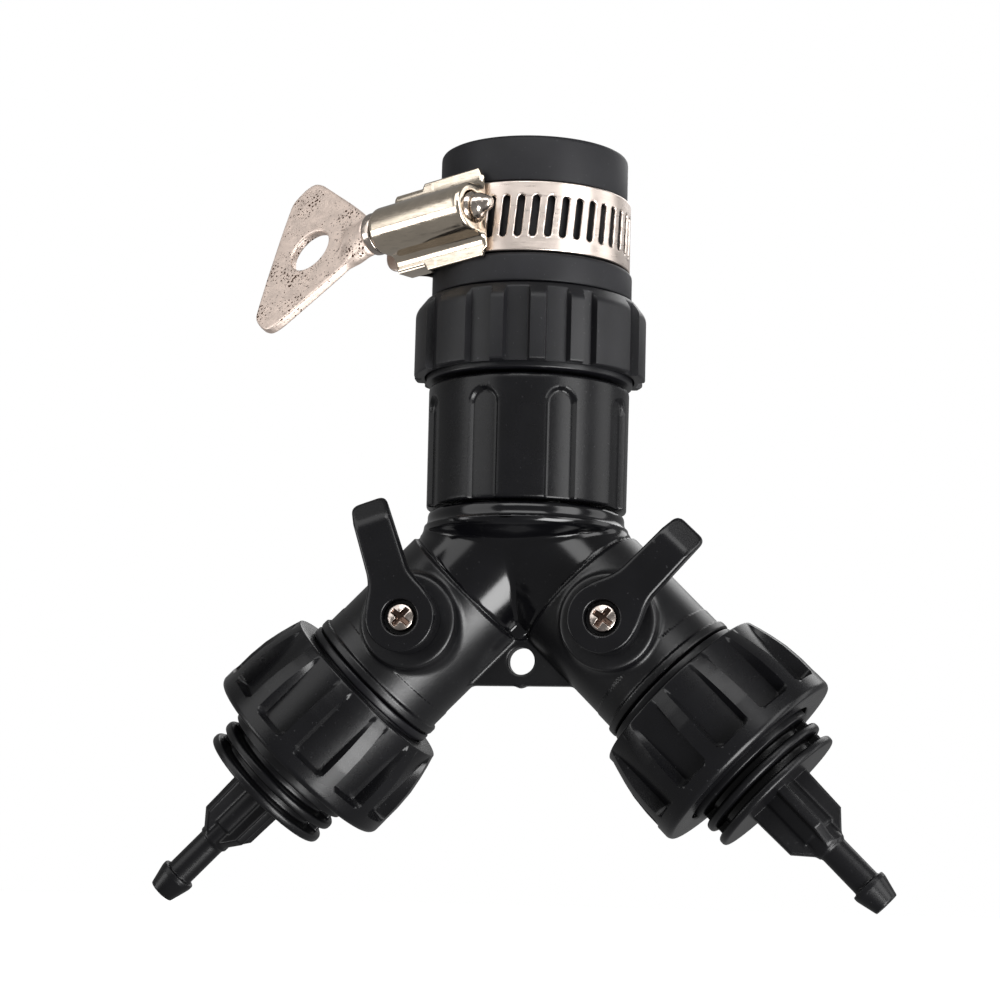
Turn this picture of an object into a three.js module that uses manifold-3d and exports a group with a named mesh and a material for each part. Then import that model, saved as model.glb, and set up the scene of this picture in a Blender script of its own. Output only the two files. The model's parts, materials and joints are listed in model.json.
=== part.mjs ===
// Two-way hose splitter: a universal tap sleeve with a wing-screw hose clamp, a swivel nut, a Y body
// with two lever ball valves, and on each outlet a union nut that holds a barbed micro-tube adapter.
//
// Millimetres, +Z up. The origin is the centre of the tap sleeve's mouth, so everything hangs below it.
// The inlet axis is Z. The branches leave it in the XZ plane, and the valve levers face -Y.

import * as THREE from 'three';
import { mergeVertices } from 'three/addons/utils/BufferGeometryUtils.js';
import Module from 'manifold-3d';

const wasm = await Module();
wasm.setup();

// ---------------------------------------------------------------- driving dimensions

const DEG = Math.PI / 180;
const GAP = 0.3; // between neighbouring pieces
const ROUND = 36; // facets round a large piece
const MEDIUM = 24; // facets round an inner piece
const SMALL = 16; // facets round a small piece

const THREAD = { r: 13.2, clearR: 13.5 }; // G3/4 male thread and the bore of its nuts
const WATERWAY_R = 7.5;

const SLEEVE = { topLipR: 17.2, grooveR: 16.5, bottomLipR: 18.3, boreR: 10, socketR: 12.9,
  grooveTop: -8.4, grooveBottom: -21.7, stepZ: -14.2, bottom: -27, edge: 0.9 };

const RING = { top: -27.3, bottom: -41.6, topR: 19.2, ribR: 21.1, valleyR: 19.7, chamfer: 2.6, skirtR: 19.1,
  skirtTop: -36.7, flank: 1.4 };
// ribs of one third of the ring, as start and end angles
const RING_RIBS = [[-41, -22], [-8.5, -2], [11, 18.5], [31, 38], [45, 69]];

const CONNECTOR = { top: -14.5, spigotR: 12.6, collarR: 18.8, collarTop: -37, collarBottom: -42.6,
  threadEnd: -57 };

const SWIVEL = { top: -43.3, bottom: -65.6, topR: 18.25, bottomR: 18.1, lipTop: -62, lipR: 12, edge: 0.8,
  flutes: 8, fluteWidth: 6, fluteTop: -45.8, fluteFloorR: 17.35, firstFlute: -15 };

const WASHER = { top: -57.3, bottom: -59.3, outerR: 13, innerR: WATERWAY_R };

const BODY = { spigotTop: -59.6, flangeBottom: -61.7, flangeR: THREAD.r, spigotR: 11.7, rimTop: -66.1,
  rimR: 17.8, rimBottom: -69.6, branchZ: -69.2, branchAngle: 45, coreR: 12.7, grooveR: 12, tubeR: 13.2,
  endCollarR: 13.9, grooveS: 14.2, tubeS: 15.3, endCollarS: 36.7, endS: 38.3, chamberR: 10.7,
  chamberS: 15.6, portR: 6.2 };

const TAB = { thickness: 3, bottom: -97.2, halfWidth: 12, apex: -81.5, holeZ: -92.8, holeR: 2.45 };

const VALVE = { s: 25.2, ballR: 9, boreR: 5, bossR: 8.6, bossFace: 15.2, slotHalf: 1.6, slotFloor: 7.3,
  pocketR: 5.9, pocketDepth: 13.8, stemBoreR: 4.4 };
const STEM = { bladeTip: 7.6, flangeBack: 10.8, flangeFront: 12, flangeR: 5.5, r: 4, squareFrom: 15.3,
  end: 18, squareHalf: 2.5, pilotR: 1.6, pilotFrom: 12.4 };
const SEAL = { from: 12.3, to: 13.5, innerR: 4.35, outerR: 5.6 };
const LEVER = { back: 15.5, armBack: 18.1, front: 21, hubR: 6.1, length: 21.8, rootHalf: 3.7, tipHalf: 3.3,
  counterboreR: 3.4, floorFront: 19.1, floorBack: 18.3, lean: { left: -18.5, right: 43.5 } };
const SCREW = { headR: 2.45, shankR: 1.3, headBack: 19.4, headFront: 20.7, tip: 12.8, crossWidth: 0.8,
  crossR: 1.7 };

const SEAT = { innerR: 6.2, outerR: 10.4, near: 4.9, nearR: 8.2, far: 9.3, farInner: 7 };

const TAIL = { plugS: 34.8, plugR: 10.4, flangeS: 38.6, flangeR: 13.9, threadS: 40.1, endS: 51,
  boreR: 6.3 };
const OUTLET_WASHER = { from: 51.3, to: 52.4, innerR: 6.5, outerR: 12.8 };

const NUT = { from: 40.4, to: 58.3, fromR: 17.2, crownS: 48, crownR: 19.1, toR: 19.4, lipS: 55.5, lipR: 9.6,
  recessS: 56.6, recessR: 13.9, pockets: 12, pocketWidth: 21.5, pocketEndS: 55.2, pocketFloorR: 17.25,
  turn: { left: -4.5, right: 8.2 } };

// stations of an adapter pushed home; play is how far each one hangs out of its nut
const ADAPTER = { flange: [52.7, 53.7], flangeR: 12.8, neckR: 9.3, coreR: 10.7,
  discs: [[57.2, 59.3, 13], [60.8, 62.4, 13.1], [64, 65.6, 13.2]], stemR: 4, stemS: 74.6, tubeR: 2.6,
  tubeS: 78.6, barbS: 87.3, barbR: 3.36, tipS: 92, tipR: 2.4, boreR: 1.3, cupR: 6.3, cupS: 57.3,
  finRootR: 6.4, finR: 6.1, finThickness: 1.9, turn: { left: -38.5, right: -12 },
  play: { left: 1.5, right: 0 } };

// The clamp is drawn in a frame of its own, with x along its screw and the housing on its -y side.
const CLAMP = { z: -15, turn: -27, bandHeight: 12.7, bandThickness: 0.6, loopR: 17.6, cornerR: 3.5,
  layerStep: 0.95, tailX: -20, innerEndX: -6, droopX: -6, droopAngle: 4.8, slots: 28, firstSlot: 12.9,
  slotPitch: 8.7, slotWidth: 1.2, slotLength: 7.5, slotSlant: 9 };
const HOUSING = { barrelY: -22.2, barrelR: 4.4, boreR: 3.7, fromX: -17.2, toX: 4.1, plateY: -18.3,
  plateHalf: 6.9, hookFrom: -16.6, hookTo: -8, hookInner: 6.7, hookOuter: 7.4, hookY: -17.2,
  saddleFrom: -14, saddleTo: -11, saddleOuter: -15.9, saddleInner: -15.2, footFrom: -10, footTo: 3.2,
  footOuter: -19.6, footInner: -18.6, footHalf: 8.2 };
const WORM = { r: 3.3, coneX: 4.8, tipX: 8.1, tipR: 0.9, tailX: -17.5, collarR: 3.9, collarX: -19.4 };
const WING = { thickness: 1.8, neckX: -19.7, neckHalf: 4, waistX: -26, waistHalf: 8, tipX: -39.2,
  tipHalf: 17.2, tipR: 3, shoulder: [-43.8, 13.6], outerX: -44.1, outerHalf: 6, holeX: -34.7, holeR: 4.4,
  turn: -24 };

const COLOURS = { rubber: 0x141414, plastic: 0x1b1b1c, gloss: 0x111112, steel: 0xc4b9ae, nickel: 0xd8c9b6,
  white: 0xe8e6e0, seal: 0x0d0d0d };

// ---------------------------------------------------------------- shapes

const vec2 = ([x, y]) => new THREE.Vector2(x, y);

/** A ring or spindle about Z from an [r, z] outline. */
function lathe(outline, facets = ROUND) {
  const onAxis = outline[0][0] === 0 && outline.at(-1)[0] === 0;
  const closed = onAxis ? outline : [...outline, outline[0]];
  return new THREE.LatheGeometry(closed.map(vec2), facets).rotateX(Math.PI / 2);
}

/** A flat ring about Z. */
const washer = (innerR, outerR, z0, z1, facets = ROUND) =>
  lathe([[innerR, z0], [outerR, z0], [outerR, z1], [innerR, z1]], facets);

/** A cylinder about Z. */
const rod = (r, z0, z1, facets = MEDIUM) => lathe([[0, z0], [r, z0], [r, z1], [0, z1]], facets);

/** A cylinder about Y, from depth y0 to y1 on the -Y side. */
const rodFacing = (r, y0, y1, facets = MEDIUM) => rod(r, y0, y1, facets).rotateX(Math.PI / 2);

/** An outline of [x, y] points raised along Z. */
function prism(outline, z0, z1, holes = []) {
  const shape = new THREE.Shape(outline.map(vec2));
  shape.holes = holes.map(hole => new THREE.Path(hole.map(vec2)));
  return new THREE.ExtrudeGeometry(shape, { depth: z1 - z0, bevelEnabled: false }).translate(0, 0, z0);
}

/** An outline of [x, z] points with depth y0 to y1 on the -Y side. */
const plate = (outline, y0, y1, holes = []) => prism(outline, y0, y1, holes).rotateX(Math.PI / 2);

function box([x0, x1], [y0, y1], [z0, z1]) {
  return new THREE.BoxGeometry(x1 - x0, y1 - y0, z1 - z0)
    .translate((x0 + x1) / 2, (y0 + y1) / 2, (z0 + z1) / 2);
}

/** Points on an arc, angles in degrees. */
function arc(cx, cy, r, from, to, steps) {
  return Array.from({ length: steps + 1 }, (_, i) => {
    const angle = (from + (to - from) * i / steps) * DEG;
    return [cx + r * Math.cos(angle), cy + r * Math.sin(angle)];
  });
}

const circle = (cx, cy, r, steps = SMALL) => arc(cx, cy, r, 0, 360, steps).slice(0, -1);

// ---------------------------------------------------------------- joining and cutting

function solid(geometry) {
  if (geometry instanceof wasm.Manifold) return geometry;
  const bare = geometry.clone();
  bare.deleteAttribute('normal');
  bare.deleteAttribute('uv');
  const merged = mergeVertices(bare, 1e-4);
  const points = merged.getAttribute('position');
  const corner = [new THREE.Vector3(), new THREE.Vector3(), new THREE.Vector3()];
  const triangles = [];
  let volume = 0;
  for (let i = 0; i < merged.index.count; i += 3) {
    const triangle = [0, 1, 2].map(k => merged.index.getX(i + k));
    if (new Set(triangle).size < 3) continue; // collapsed on the axis
    triangle.forEach((vertex, k) => corner[k].fromBufferAttribute(points, vertex));
    volume += corner[0].dot(corner[1].cross(corner[2]));
    triangles.push(triangle);
  }
  if (volume < 0) triangles.forEach(triangle => triangle.reverse());
  return new wasm.Manifold(new wasm.Mesh({
    numProp: 3,
    vertProperties: new Float32Array(points.array),
    triVerts: new Uint32Array(triangles.flat()),
  }));
}

const join = (...shapes) => shapes.map(solid).reduce((whole, next) => whole.add(next));
const cut = (shape, ...tools) => solid(shape).subtract(join(...tools));
const trim = (shape, limit) => solid(shape).intersect(solid(limit));

function geometryOf(shape) {
  const { vertProperties, triVerts } = solid(shape).getMesh();
  const geometry = new THREE.BufferGeometry();
  geometry.setAttribute('position', new THREE.BufferAttribute(vertProperties, 3));
  geometry.setIndex(new THREE.BufferAttribute(triVerts, 1));
  geometry.computeVertexNormals();
  return geometry;
}

function piece(name, shape, colour, roughness = 0.6, metalness = 0) {
  const material = new THREE.MeshStandardMaterial({ color: colour, roughness, metalness });
  const mesh = new THREE.Mesh(geometryOf(shape), material);
  mesh.name = name;
  return mesh;
}

// ---------------------------------------------------------------- tap connector

function rubberSleeve() {
  const s = SLEEVE;
  return lathe([[s.boreR, 0], [s.topLipR - s.edge, 0], [s.topLipR, -s.edge], [s.topLipR, s.grooveTop],
    [s.grooveR, s.grooveTop], [s.grooveR, s.grooveBottom], [s.bottomLipR, s.grooveBottom],
    [s.bottomLipR, s.bottom], [s.socketR, s.bottom], [s.socketR, s.stepZ], [s.boreR, s.stepZ]]);
}

/** Outline of the ribbed collar: ribs of uneven width, the same in each third. */
function ribOutline(ribR, valleyR, flank) {
  const points = [];
  for (const third of [0, 120, 240]) {
    for (const [start, end] of RING_RIBS) {
      const middle = third - 90;
      points.push(...arc(0, 0, valleyR, middle + start - flank, middle + start - flank, 1).slice(1));
      points.push(...arc(0, 0, ribR, middle + start, middle + end, end - start > 10 ? 3 : 1));
      points.push(...arc(0, 0, valleyR, middle + end + flank, middle + end + flank, 1).slice(1));
    }
  }
  return points;
}

function gripRing() {
  const r = RING;
  const ribbed = prism(ribOutline(r.ribR, r.valleyR, r.flank), r.bottom, r.top);
  const chamfered = lathe([[0, r.top], [r.topR, r.top], [r.ribR + 0.1, r.top - r.chamfer],
    [r.ribR + 0.1, r.bottom], [0, r.bottom]]);
  return cut(trim(ribbed, chamfered),
    rod(SLEEVE.socketR, r.bottom - 1, r.top + 1, ROUND),
    rod(r.skirtR, r.bottom - 1, r.skirtTop, ROUND));
}

function tapConnector() {
  const c = CONNECTOR;
  return lathe([[WATERWAY_R, c.top], [c.spigotR - 0.6, c.top], [c.spigotR, c.top - 1.5],
    [c.spigotR, c.collarTop], [c.collarR, c.collarTop], [c.collarR, c.collarBottom],
    [THREAD.r, c.collarBottom], [THREAD.r, c.threadEnd + 0.8], [THREAD.r - 0.8, c.threadEnd],
    [WATERWAY_R, c.threadEnd]]);
}

// ---------------------------------------------------------------- hose clamp

/** Middle line of the band, from its free tail round the loop to the end fixed under the housing. */
function bandLine() {
  const { loopR: r, cornerR, layerStep, tailX, innerEndX } = CLAMP;
  const innerY = -r + layerStep;
  return [[tailX, -r], [-14, -r], [CLAMP.droopX, -r],
    ...arc(0, 0, r, -90, 180, 36), [-r, -7.5],
    ...arc(cornerR - r, innerY + cornerR, cornerR, 180, 270, 5),
    [innerEndX, innerY]];
}

/** How far the loose band has dropped at a place in its plan. */
function droop(x, y) {
  const towardHousing = THREE.MathUtils.smoothstep(-y, 7.5, 15);
  return Math.tan(CLAMP.droopAngle * DEG) * Math.min(0, x - CLAMP.droopX) * towardHousing;
}

/** A strip on edge that follows a line in plan. */
function strip(line, thickness, height) {
  const steps = line.length - 1;
  const shape = new THREE.BoxGeometry(steps, thickness, height, steps, 1, 1).translate(steps / 2, 0, 0);
  const points = shape.getAttribute('position');
  for (let k = 0; k < points.count; k += 1) {
    const i = Math.round(points.getX(k));
    const before = line[Math.max(i - 1, 0)];
    const after = line[Math.min(i + 1, steps)];
    const across = new THREE.Vector2(before[1] - after[1], after[0] - before[0]).normalize();
    const x = line[i][0] + across.x * points.getY(k);
    const y = line[i][1] + across.y * points.getY(k);
    points.setXYZ(k, x, y, points.getZ(k) + droop(x, y));
  }
  return shape;
}

function clampBand() {
  const c = CLAMP;
  const band = strip(bandLine(), c.bandThickness, c.bandHeight);
  const slots = Array.from({ length: c.slots }, (_, i) =>
    box([-c.slotWidth / 2, c.slotWidth / 2], [-c.loopR - 1.5, -c.loopR + 1.5],
      [-c.slotLength / 2, c.slotLength / 2])
      .rotateY(c.slotSlant * DEG)
      .rotateZ((c.firstSlot + i * c.slotPitch) * DEG));
  return cut(band, ...slots);
}

/** The housing, the screw and the key sit square to each other and drop with the band. */
function onDroopingEnd(shape) {
  return shape.translate(-CLAMP.droopX, 0, 0).rotateY(-CLAMP.droopAngle * DEG)
    .translate(CLAMP.droopX, 0, 0);
}

function clampHousing() {
  const h = HOUSING;
  const alongX = (outline, x0, x1) => prism(outline, x0, x1).rotateY(Math.PI / 2).rotateX(Math.PI / 2);
  // section seen along the screw: a barrel on two skirts that flare to the width of the band
  const section = [[-h.plateHalf, h.plateY], [-h.plateHalf, h.plateY - 0.8],
    ...arc(0, h.barrelY, h.barrelR, 200, 340, 10), [h.plateHalf, h.plateY - 0.8], [h.plateHalf, h.plateY]];
  const barrel = alongX(section.map(([z, y]) => [y, z]), h.fromX, h.toX);
  const screwBore = rod(h.boreR, h.fromX - 1, h.toX + 1).rotateY(Math.PI / 2).translate(0, h.barrelY, 0);
  const window = box([h.hookFrom, -4], [h.plateY - 1.4, h.plateY + 0.1], [-2.6, 2.6]);
  const hooks = [1, -1].map(sign => {
    const edge = sign > 0 ? [h.hookInner, h.hookOuter] : [-h.hookOuter, -h.hookInner];
    return join(box([h.hookFrom, h.hookTo], [h.plateY - 0.6, h.hookY], edge),
      box([h.hookFrom, h.saddleTo], [h.hookY - 0.2, h.saddleInner], edge));
  });
  const saddle = box([h.saddleFrom, h.saddleTo], [h.saddleOuter, h.saddleInner],
    [-h.hookOuter, h.hookOuter]);
  const feet = [[h.plateHalf - 0.5, h.footHalf], [-h.footHalf, 0.5 - h.plateHalf]].map(height =>
    box([h.footFrom, h.footTo], [h.footOuter, h.footInner], height));
  return join(cut(barrel, screwBore, window), ...hooks, saddle, ...feet);
}

function wormScrew() {
  const w = WORM;
  return lathe([[0, w.collarX], [w.collarR, w.collarX], [w.collarR, w.tailX], [w.r, w.tailX],
    [w.r, w.coneX], [w.tipR, w.tipX], [0, w.tipX]], SMALL);
}

function wingKey() {
  const w = WING;
  const half = [[w.neckX, w.neckHalf], [w.neckX - 1.6, w.neckHalf + 0.8], [w.waistX, w.waistHalf],
    ...arc(w.tipX, w.tipHalf - w.tipR, w.tipR, 45, 135, 3), w.shoulder, [w.outerX, w.outerHalf]];
  const outline = [...half, ...half.map(([x, y]) => [x, -y]).reverse()];
  return prism(outline, -w.thickness / 2, w.thickness / 2, [circle(w.holeX, 0, w.holeR)]);
}

function clamp() {
  const group = new THREE.Group();
  group.position.z = CLAMP.z;
  group.rotation.z = CLAMP.turn * DEG;
  const onScrewAxis = shape => onDroopingEnd(shape.translate(0, HOUSING.barrelY, 0));
  const worm = wormScrew().rotateY(Math.PI / 2);
  const key = wingKey().rotateX((90 + WING.turn) * DEG);
  group.add(
    piece('clamp_band', clampBand(), COLOURS.steel, 0.35, 1),
    piece('clamp_housing', onDroopingEnd(geometryOf(clampHousing())), COLOURS.steel, 0.25, 1),
    piece('worm_screw', onScrewAxis(worm), COLOURS.nickel, 0.3, 1),
    piece('wing_key', onScrewAxis(key), COLOURS.steel, 0.4, 1),
  );
  return group;
}

// ---------------------------------------------------------------- swivel nut and Y body

function swivelNut() {
  const n = SWIVEL;
  const shell = lathe([[THREAD.clearR, n.top], [n.topR - n.edge, n.top], [n.topR, n.top - n.edge],
    [n.bottomR, n.bottom], [n.lipR, n.bottom], [n.lipR, n.lipTop], [THREAD.clearR, n.lipTop]]);
  const half = n.fluteWidth / 2;
  const outline = [[-half, n.bottom - 1], [half, n.bottom - 1],
    ...arc(0, n.fluteTop - half, half, 0, 180, 6)];
  const flutes = Array.from({ length: n.flutes }, (_, i) =>
    plate(outline, n.fluteFloorR, n.topR + 1).rotateZ((n.firstFlute + i * 360 / n.flutes) * DEG));
  return cut(shell, ...flutes);
}

const inletWasher = () => washer(WASHER.innerR, WASHER.outerR, WASHER.bottom, WASHER.top, MEDIUM);

/** Frame of a branch: origin on the inlet axis, z out along the branch, y as the whole part's. */
function branchMatrix(side) {
  return new THREE.Matrix4()
    .makeRotationY(side * (180 - BODY.branchAngle) * DEG)
    .setPosition(0, 0, BODY.branchZ);
}

function yBody() {
  const b = BODY;
  const onBranch = (shape, side) => shape.applyMatrix4(branchMatrix(side));
  const head = lathe([[0, b.spigotTop], [b.flangeR, b.spigotTop], [b.flangeR, b.flangeBottom],
    [b.spigotR, b.flangeBottom], [b.spigotR, b.rimTop], [b.rimR, b.rimTop], [b.rimR, b.rimBottom],
    [b.rimR - 0.7, b.rimBottom - 1.8], [b.rimR - 2.4, b.rimBottom - 3.2], [b.rimR - 5.5, b.rimBottom - 4.2],
    [0, b.rimBottom - 5]]);
  const tab = plate([[-TAB.halfWidth, TAB.bottom], [TAB.halfWidth, TAB.bottom], [0, TAB.apex]],
    -TAB.thickness / 2, TAB.thickness / 2, [circle(0, TAB.holeZ, TAB.holeR)]);
  const belowRim = box([-100, 100], [-100, 100], [-150, b.rimTop - 1.5]);
  const parts = [head, tab];
  const hollows = [rod(WATERWAY_R, b.branchZ - 3, b.spigotTop + 1)];
  for (const side of [-1, 1]) {
    const tube = lathe([[0, 0], [b.coreR, 0], [b.coreR, b.grooveS], [b.grooveR, b.grooveS],
      [b.grooveR, b.tubeS], [b.tubeR, b.tubeS], [b.tubeR, b.endCollarS], [b.endCollarR, b.endCollarS],
      [b.endCollarR, b.endS], [0, b.endS]]);
    const boss = rodFacing(VALVE.bossR, 0, VALVE.bossFace).translate(0, 0, VALVE.s);
    parts.push(trim(onBranch(tube, side), belowRim), onBranch(boss, side));
    hollows.push(
      onBranch(rod(b.portR, -2, b.chamberS + 1, SMALL), side),
      onBranch(rod(b.chamberR, b.chamberS, b.endS + 1), side),
      onBranch(rodFacing(VALVE.pocketR, 5, VALVE.pocketDepth, SMALL).translate(0, 0, VALVE.s), side),
      onBranch(rodFacing(VALVE.stemBoreR, 5, VALVE.bossFace + 1, SMALL).translate(0, 0, VALVE.s), side),
    );
  }
  return cut(join(...parts), ...hollows);
}

// ---------------------------------------------------------------- ball valve

/** Ball, stem, lever and screw are drawn with the lever upright and the pivot on the Y axis. */
function ball() {
  const v = VALVE;
  const sphere = lathe(arc(0, 0, v.ballR, -90, 90, 12).map(([r, z], i) => [i % 12 === 0 ? 0 : r, z]),
    MEDIUM);
  const slot = box([-v.slotHalf, v.slotHalf], [-v.ballR - 1, -v.slotFloor], [-v.ballR, v.ballR]);
  return cut(sphere, rod(v.boreR, -v.ballR - 1, v.ballR + 1), slot);
}

function stem() {
  const t = STEM;
  const bladeHalf = VALVE.slotHalf - GAP;
  const blade = box([-bladeHalf, bladeHalf], [-t.flangeBack - 0.5, -t.bladeTip], [-4, 4]);
  const square = box([-t.squareHalf, t.squareHalf], [-t.end, -t.squareFrom + 0.5],
    [-t.squareHalf, t.squareHalf]);
  const turned = join(rodFacing(t.flangeR, t.flangeBack, t.flangeFront),
    rodFacing(t.r, t.flangeBack, t.squareFrom));
  return cut(join(turned, blade, square), rodFacing(t.pilotR, t.pilotFrom, t.end + 1, SMALL));
}

const stemSeal = () => lathe(circle((SEAL.innerR + SEAL.outerR) / 2, (SEAL.from + SEAL.to) / 2,
  (SEAL.outerR - SEAL.innerR) / 2, 6), SMALL).rotateX(Math.PI / 2);

function lever() {
  const l = LEVER;
  const hub = rodFacing(l.hubR, l.back, l.front);
  const arm = plate([[-l.rootHalf, 0], [l.rootHalf, 0], [l.rootHalf, 9], [l.tipHalf, l.length - 1.2],
    [l.tipHalf - 1, l.length], [1 - l.tipHalf, l.length], [-l.tipHalf, l.length - 1.2], [-l.rootHalf, 9]],
  l.armBack, l.front);
  const socketHalf = STEM.squareHalf + GAP;
  return cut(join(hub, arm),
    box([-socketHalf, socketHalf], [-l.floorBack, -l.back + 1], [-socketHalf, socketHalf]),
    rodFacing(l.counterboreR, l.floorFront, l.front + 1),
    rodFacing(STEM.pilotR, l.back, l.front, SMALL));
}

function leverScrew() {
  const s = SCREW;
  const turned = lathe([[0, s.tip], [s.shankR, s.tip], [s.shankR, s.headBack], [s.headR, s.headBack],
    [s.headR, s.headFront - 0.6], [s.headR - 0.9, s.headFront], [0, s.headFront]],
    SMALL).rotateX(Math.PI / 2);
  const slot = [[-s.crossR, s.crossR], [-s.headFront - 1, -s.headFront + 0.8],
    [-s.crossWidth / 2, s.crossWidth / 2]];
  return cut(turned, box(...slot), box(slot[2], slot[1], slot[0]));
}

/** A seat ring on the branch axis. outward is -1 on the inlet side of the ball and 1 on the other. */
function seat(outward) {
  const at = offset => VALVE.s + outward * offset;
  const outline = [[SEAT.innerR, at(SEAT.farInner)], [SEAT.nearR, at(SEAT.near)],
    [SEAT.outerR, at(SEAT.near)], [SEAT.outerR, at(SEAT.far)], [SEAT.innerR, at(SEAT.far)]];
  return lathe(outline, MEDIUM);
}

// ---------------------------------------------------------------- outlets, drawn on the branch axis

function outletTail() {
  const t = TAIL;
  return lathe([[t.boreR, t.plugS], [t.plugR, t.plugS], [t.plugR, t.flangeS], [t.flangeR, t.flangeS],
    [t.flangeR, t.threadS], [THREAD.r, t.threadS], [THREAD.r, t.endS - 0.8], [THREAD.r - 0.8, t.endS],
    [t.boreR, t.endS]], MEDIUM);
}

const outletWasher = () =>
  washer(OUTLET_WASHER.innerR, OUTLET_WASHER.outerR, OUTLET_WASHER.from, OUTLET_WASHER.to, MEDIUM);

function outletNut() {
  const n = NUT;
  const shell = lathe([[THREAD.clearR, n.from], [n.fromR, n.from], [n.crownR, n.crownS],
    [n.toR, n.pocketEndS], [n.toR, n.to - 0.6], [n.toR - 0.6, n.to], [n.recessR, n.to],
    [n.recessR, n.recessS], [n.lipR, n.recessS], [n.lipR, n.lipS], [THREAD.clearR, n.lipS]]);
  const half = n.pocketWidth / 2;
  const sector = [...arc(0, 0, n.pocketFloorR, -half, half, 3), ...arc(0, 0, n.toR + 2, half, -half, 2)];
  const pockets = Array.from({ length: n.pockets }, (_, i) =>
    prism(sector, n.from - 1, n.pocketEndS).rotateZ((i + 0.5) * 360 / n.pockets * DEG));
  return cut(shell, ...pockets);
}

function barbAdapter() {
  const a = ADAPTER;
  const disc = ([from, to, r]) =>
    [[a.coreR, from], [r - 0.6, from], [r, from + 0.5], [r, to - 0.5], [r - 0.6, to], [a.coreR, to]];
  const discsEnd = a.discs.at(-1)[1];
  const turned = lathe([[a.cupR, a.flange[0]], [a.flangeR, a.flange[0]], [a.flangeR, a.flange[1]],
    [a.neckR, a.flange[1]], [a.neckR, a.discs[0][0]], ...a.discs.flatMap(disc), [a.stemR, discsEnd],
    [a.stemR, a.stemS], [a.tubeR, a.tubeS - 1.5], [a.tubeR, a.barbS], [a.barbR, a.barbS], [a.tipR, a.tipS],
    [a.boreR, a.tipS], [a.boreR, a.cupS], [a.cupR, a.cupS]], MEDIUM);
  const bored = a.boreR + 0.4;
  const fin = plate([[bored, discsEnd - 0.6], [a.finRootR, discsEnd - 0.6], [a.finR, a.stemS],
    [a.tubeR, a.tubeS], [bored, a.tubeS]], -a.finThickness / 2, a.finThickness / 2);
  const fins = [0, 90, 180, 270].map(turn => fin.clone().rotateZ(turn * DEG));
  return join(turned, ...fins);
}

function outlet(name, side) {
  const branch = new THREE.Group();
  branch.applyMatrix4(branchMatrix(side));
  const nut = piece(`${name}_outlet_nut`, outletNut(), COLOURS.plastic, 0.6);
  nut.rotation.z = NUT.turn[name] * DEG;
  const adapter = piece(`${name}_barb_adapter`, barbAdapter(), COLOURS.plastic, 0.5);
  adapter.position.z = ADAPTER.play[name];
  adapter.rotation.z = (side * ADAPTER.turn[name] - 90) * DEG;
  branch.add(
    piece(`${name}_inner_seat`, seat(-1), COLOURS.white, 0.5),
    piece(`${name}_outer_seat`, seat(1), COLOURS.white, 0.5),
    piece(`${name}_outlet_tail`, outletTail(), COLOURS.gloss, 0.4),
    piece(`${name}_outlet_washer`, outletWasher(), COLOURS.seal, 0.8),
    nut,
    adapter,
  );
  return branch;
}

function valve(name, side) {
  const pivot = new THREE.Group();
  const reach = VALVE.s * Math.sin(BODY.branchAngle * DEG);
  pivot.position.set(side * reach, 0, BODY.branchZ - VALVE.s * Math.cos(BODY.branchAngle * DEG));
  pivot.rotation.y = LEVER.lean[name] * DEG;
  pivot.add(
    piece(`${name}_ball`, ball(), COLOURS.white, 0.3),
    piece(`${name}_stem`, stem(), COLOURS.white, 0.5),
    piece(`${name}_stem_seal`, stemSeal(), COLOURS.seal, 0.8),
    piece(`${name}_lever`, lever(), COLOURS.gloss, 0.4),
    piece(`${name}_lever_screw`, leverScrew(), COLOURS.nickel, 0.3, 1),
  );
  return pivot;
}

// ---------------------------------------------------------------- assembly

const splitter = new THREE.Group();
splitter.add(
  piece('rubber_sleeve', rubberSleeve(), COLOURS.rubber, 0.8),
  piece('grip_ring', gripRing(), COLOURS.plastic, 0.65),
  piece('tap_connector', tapConnector(), COLOURS.plastic, 0.6),
  clamp(),
  piece('inlet_washer', inletWasher(), COLOURS.seal, 0.8),
  piece('swivel_nut', swivelNut(), COLOURS.plastic, 0.6),
  piece('y_body', yBody(), COLOURS.gloss, 0.35),
  valve('left', -1), valve('right', 1),
  outlet('left', -1), outlet('right', 1),
);

export default splitter;
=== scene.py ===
"""Looks of the hose splitter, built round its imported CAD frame.

The finished scene is in metres, +Z up, in the frame's own axes. Shapes are drawn in millimetres and
scaled once, in make_piece(). Turned pieces are outlines spun about an axis. Pieces whose faces run
into each other are carved as the zero level of a distance function, which is negative inside.
"""

import functools
import itertools
import json
import math

import bmesh
import bpy
import numpy as np
from mathutils import Matrix, Vector


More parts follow.
